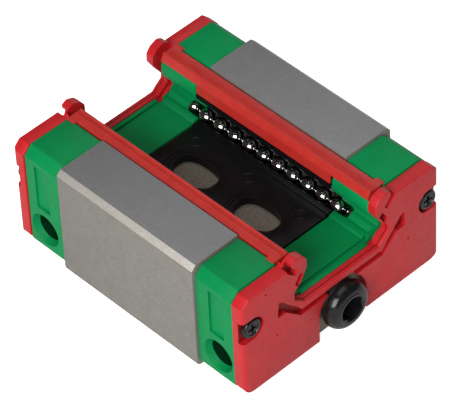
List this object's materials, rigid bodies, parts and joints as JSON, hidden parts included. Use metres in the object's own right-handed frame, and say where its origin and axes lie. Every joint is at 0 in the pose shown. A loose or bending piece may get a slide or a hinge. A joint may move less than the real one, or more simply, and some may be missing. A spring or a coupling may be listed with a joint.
{
  "type": "linear guide carriage",
  "caption": "Short low-profile recirculating-ball carriage for a profiled rail: ground steel block, plastic end caps, rubber end seals and sealing strips, retained ball rows and a grease port plug.",
  "frame": {"origin": "centre of the mounting face, midway between the two tapped holes", "axes": "+X along the rail towards the end with the plug screw, +Y across the carriage, +Z from the mounting face towards the rail"},
  "size_m": [0.0521, 0.042, 0.0218],
  "materials": {
    "ground_steel": "ground, fine grain, satin",
    "green_plastic": "moulded, semi-matt green",
    "red_rubber": "moulded, satin red",
    "black_plastic": "moulded, satin black",
    "guide_plastic": "moulded, matt dark",
    "ball_steel": "polished bearing steel",
    "black_screw": "black oxide, satin",
    "plate_steel": "plated sheet steel, dull",
    "black_rubber": "matt black"
  },
  "bodies": {
    "carriage": {"steel_block": "ground_steel", "end_cap_front": "green_plastic", "end_cap_rear": "green_plastic", "end_seal_front": "red_rubber", "end_seal_rear": "red_rubber", "bottom_seal_left": "red_rubber", "bottom_seal_right": "red_rubber", "seal_backing_plate_front": "plate_steel", "seal_backing_plate_rear": "plate_steel", "ball_retainer_plate": "black_plastic", "side_retainer_left": "black_plastic", "side_retainer_right": "black_plastic", "mouth_row_keeper_left": "black_plastic", "mouth_row_keeper_right": "black_plastic", "return_guide_front_left": "guide_plastic", "return_guide_front_right": "guide_plastic", "return_guide_rear_left": "guide_plastic", "return_guide_rear_right": "guide_plastic", "return_tube_base_left": "guide_plastic", "return_tube_mouth_left": "guide_plastic", "return_tube_base_right": "guide_plastic", "return_tube_mouth_right": "guide_plastic", "end_screw_front_left": "black_screw", "end_screw_front_right": "black_screw", "end_screw_rear_left": "black_screw", "end_screw_rear_right": "black_screw", "front_plug_screw": "black_screw", "rear_plug_set_screw": "black_screw", "front_plug_sealing_ring": "black_rubber"},
    "base_left_load_row": {"balls_base_left_load": "ball_steel"},
    "base_left_return_row": {"balls_base_left_return": "ball_steel"},
    "base_left_front_turn": {"balls_base_left_front_turn": "ball_steel"},
    "base_left_rear_turn": {"balls_base_left_rear_turn": "ball_steel"},
    "mouth_left_load_row": {"balls_mouth_left_load": "ball_steel"},
    "mouth_left_return_row": {"balls_mouth_left_return": "ball_steel"},
    "mouth_left_front_turn": {"balls_mouth_left_front_turn": "ball_steel"},
    "mouth_left_rear_turn": {"balls_mouth_left_rear_turn": "ball_steel"},
    "base_right_load_row": {"balls_base_right_load": "ball_steel"},
    "base_right_return_row": {"balls_base_right_return": "ball_steel"},
    "base_right_front_turn": {"balls_base_right_front_turn": "ball_steel"},
    "base_right_rear_turn": {"balls_base_right_rear_turn": "ball_steel"},
    "mouth_right_load_row": {"balls_mouth_right_load": "ball_steel"},
    "mouth_right_return_row": {"balls_mouth_right_return": "ball_steel"},
    "mouth_right_front_turn": {"balls_mouth_right_front_turn": "ball_steel"},
    "mouth_right_rear_turn": {"balls_mouth_right_rear_turn": "ball_steel"}
  },
  "joints": [
    {"name": "base_left_load_slide", "type": "slide", "parent": "carriage", "child": "base_left_load_row", "axis": [1, 0, 0], "range_m": [-0.0016, 0.0016]},
    {"name": "base_left_return_slide", "type": "slide", "parent": "carriage", "child": "base_left_return_row", "axis": [1, 0, 0], "range_m": [-0.0016, 0.0016]},
    {"name": "base_left_front_turn_spin", "type": "hinge", "parent": "carriage", "child": "base_left_front_turn", "pos_m": [0.016, 0.01309, 0.0107], "axis": [0, 0.309, 0.9511], "range_deg": [-30, 30]},
    {"name": "base_left_rear_turn_spin", "type": "hinge", "parent": "carriage", "child": "base_left_rear_turn", "pos_m": [-0.016, 0.01309, 0.0107], "axis": [0, 0.309, 0.9511], "range_deg": [-30, 30]},
    {"name": "mouth_left_load_slide", "type": "slide", "parent": "carriage", "child": "mouth_left_load_row", "axis": [1, 0, 0], "range_m": [-0.0016, 0.0016]},
    {"name": "mouth_left_return_slide", "type": "slide", "parent": "carriage", "child": "mouth_left_return_row", "axis": [1, 0, 0], "range_m": [-0.0016, 0.0016]},
    {"name": "mouth_left_front_turn_spin", "type": "hinge", "parent": "carriage", "child": "mouth_left_front_turn", "pos_m": [0.016, 0.01323, 0.01774], "axis": [0, -0.1045, 0.9945], "range_deg": [-30, 30]},
    {"name": "mouth_left_rear_turn_spin", "type": "hinge", "parent": "carriage", "child": "mouth_left_rear_turn", "pos_m": [-0.016, 0.01323, 0.01774], "axis": [0, -0.1045, 0.9945], "range_deg": [-30, 30]},
    {"name": "base_right_load_slide", "type": "slide", "parent": "carriage", "child": "base_right_load_row", "axis": [1, 0, 0], "range_m": [-0.0016, 0.0016]},
    {"name": "base_right_return_slide", "type": "slide", "parent": "carriage", "child": "base_right_return_row", "axis": [1, 0, 0], "range_m": [-0.0016, 0.0016]},
    {"name": "base_right_front_turn_spin", "type": "hinge", "parent": "carriage", "child": "base_right_front_turn", "pos_m": [0.016, -0.01309, 0.0107], "axis": [0, 0.309, -0.9511], "range_deg": [-30, 30]},
    {"name": "base_right_rear_turn_spin", "type": "hinge", "parent": "carriage", "child": "base_right_rear_turn", "pos_m": [-0.016, -0.01309, 0.0107], "axis": [0, 0.309, -0.9511], "range_deg": [-30, 30]},
    {"name": "mouth_right_load_slide", "type": "slide", "parent": "carriage", "child": "mouth_right_load_row", "axis": [1, 0, 0], "range_m": [-0.0016, 0.0016]},
    {"name": "mouth_right_return_slide", "type": "slide", "parent": "carriage", "child": "mouth_right_return_row", "axis": [1, 0, 0], "range_m": [-0.0016, 0.0016]},
    {"name": "mouth_right_front_turn_spin", "type": "hinge", "parent": "carriage", "child": "mouth_right_front_turn", "pos_m": [0.016, -0.01323, 0.01774], "axis": [0, -0.1045, -0.9945], "range_deg": [-30, 30]},
    {"name": "mouth_right_rear_turn_spin", "type": "hinge", "parent": "carriage", "child": "mouth_right_rear_turn", "pos_m": [-0.016, -0.01323, 0.01774], "axis": [0, -0.1045, -0.9945], "range_deg": [-30, 30]}
  ],
  "couplings": [
    {"joint": "base_left_return_slide", "follows": "base_left_load_slide", "ratio": -1},
    {"joint": "base_left_front_turn_spin", "follows": "base_left_load_slide", "rad_per_m": 327.2},
    {"joint": "base_left_rear_turn_spin", "follows": "base_left_load_slide", "rad_per_m": 327.2},
    {"joint": "mouth_left_return_slide", "follows": "mouth_left_load_slide", "ratio": -1},
    {"joint": "mouth_left_front_turn_spin", "follows": "mouth_left_load_slide", "rad_per_m": 327.2},
    {"joint": "mouth_left_rear_turn_spin", "follows": "mouth_left_load_slide", "rad_per_m": 327.2},
    {"joint": "base_right_return_slide", "follows": "base_right_load_slide", "ratio": -1},
    {"joint": "base_right_front_turn_spin", "follows": "base_right_load_slide", "rad_per_m": 327.2},
    {"joint": "base_right_rear_turn_spin", "follows": "base_right_load_slide", "rad_per_m": 327.2},
    {"joint": "mouth_right_return_slide", "follows": "mouth_right_load_slide", "ratio": -1},
    {"joint": "mouth_right_front_turn_spin", "follows": "mouth_right_load_slide", "rad_per_m": 327.2},
    {"joint": "mouth_right_rear_turn_spin", "follows": "mouth_right_load_slide", "rad_per_m": 327.2}
  ]
}
